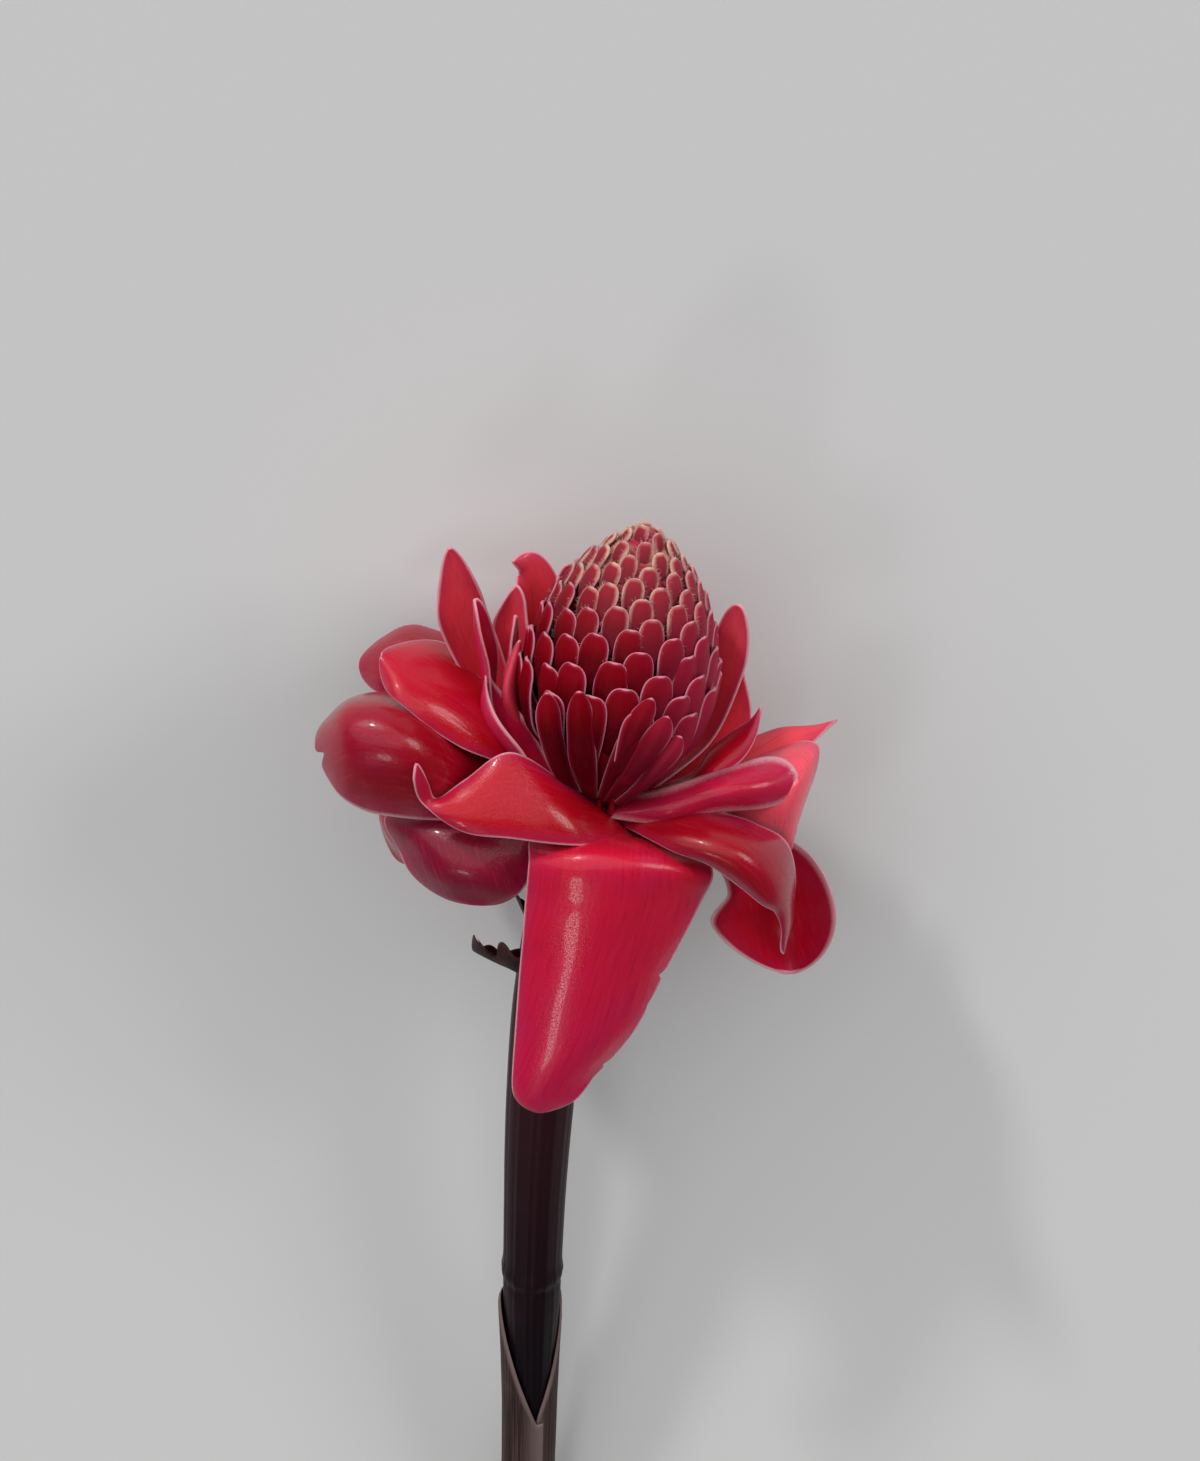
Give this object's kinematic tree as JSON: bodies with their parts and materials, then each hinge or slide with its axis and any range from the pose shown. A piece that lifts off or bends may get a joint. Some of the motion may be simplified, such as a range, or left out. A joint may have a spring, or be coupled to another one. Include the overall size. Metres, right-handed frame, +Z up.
{
  "type": "torch ginger flower",
  "caption": "Cut tropical flower lying on its back: a cone of scale-like tongues inside a whorl of large waxy red bracts, on a long sheathed stem.",
  "frame": {"origin": "middle of the flower's outline, on the surface that it lies on", "axes": "+Y from the cut end of the stem toward the flower head, +Z up from the surface, +X to the right seen from above with the head away from the viewer"},
  "size_m": [0.1582, 0.4285, 0.1014],
  "materials": {
    "waxy_red": "waxy, glossy flower bract, red with pale pink margins",
    "cone_crimson": "satin crimson bracts with pale pink rims, fuzzy toward the tip",
    "stem_maroon": "smooth satin stem, dark maroon",
    "sheath_brown": "dull papery leaf sheath, grey brown with reddish margins",
    "withered_brown": "dry wrinkled bract remnant, dark red brown"
  },
  "bodies": {
    "root": {"stem": "stem_maroon", "stem_sheath": "sheath_brown", "floral_cone": "cone_crimson", "bract_front_flag": "waxy_red", "bract_front_left_fold": "waxy_red", "bract_front_right_droop": "waxy_red", "bract_right_round": "waxy_red", "bract_left_inner_curl": "waxy_red", "bract_right_mid_near": "waxy_red", "bract_right_mid_far": "waxy_red", "bract_left_mid": "waxy_red", "bract_left_big": "waxy_red", "bract_left_lower": "waxy_red", "bract_tall_left": "waxy_red", "bract_tall_narrow": "waxy_red", "bract_right_low_curl": "waxy_red", "bract_right_back_reflexed": "waxy_red", "bract_right_upper": "waxy_red", "bract_right_upper_behind": "waxy_red", "bract_left_inner_front": "waxy_red", "bract_left_inner_back": "waxy_red", "bract_back_left_short": "waxy_red", "bract_back_left_curl": "waxy_red", "bract_back_shoulder": "waxy_red", "bract_left_back": "waxy_red", "bract_left_under": "waxy_red", "bract_back_upright": "waxy_red", "bract_back_rest_left": "waxy_red", "bract_back_rest_right": "waxy_red", "bract_back_low": "waxy_red", "bract_back_right_low": "waxy_red", "bract_back_left_low": "waxy_red", "withered_bract_lower": "withered_brown", "withered_bract_upper": "withered_brown"}
  },
  "joints": []
}
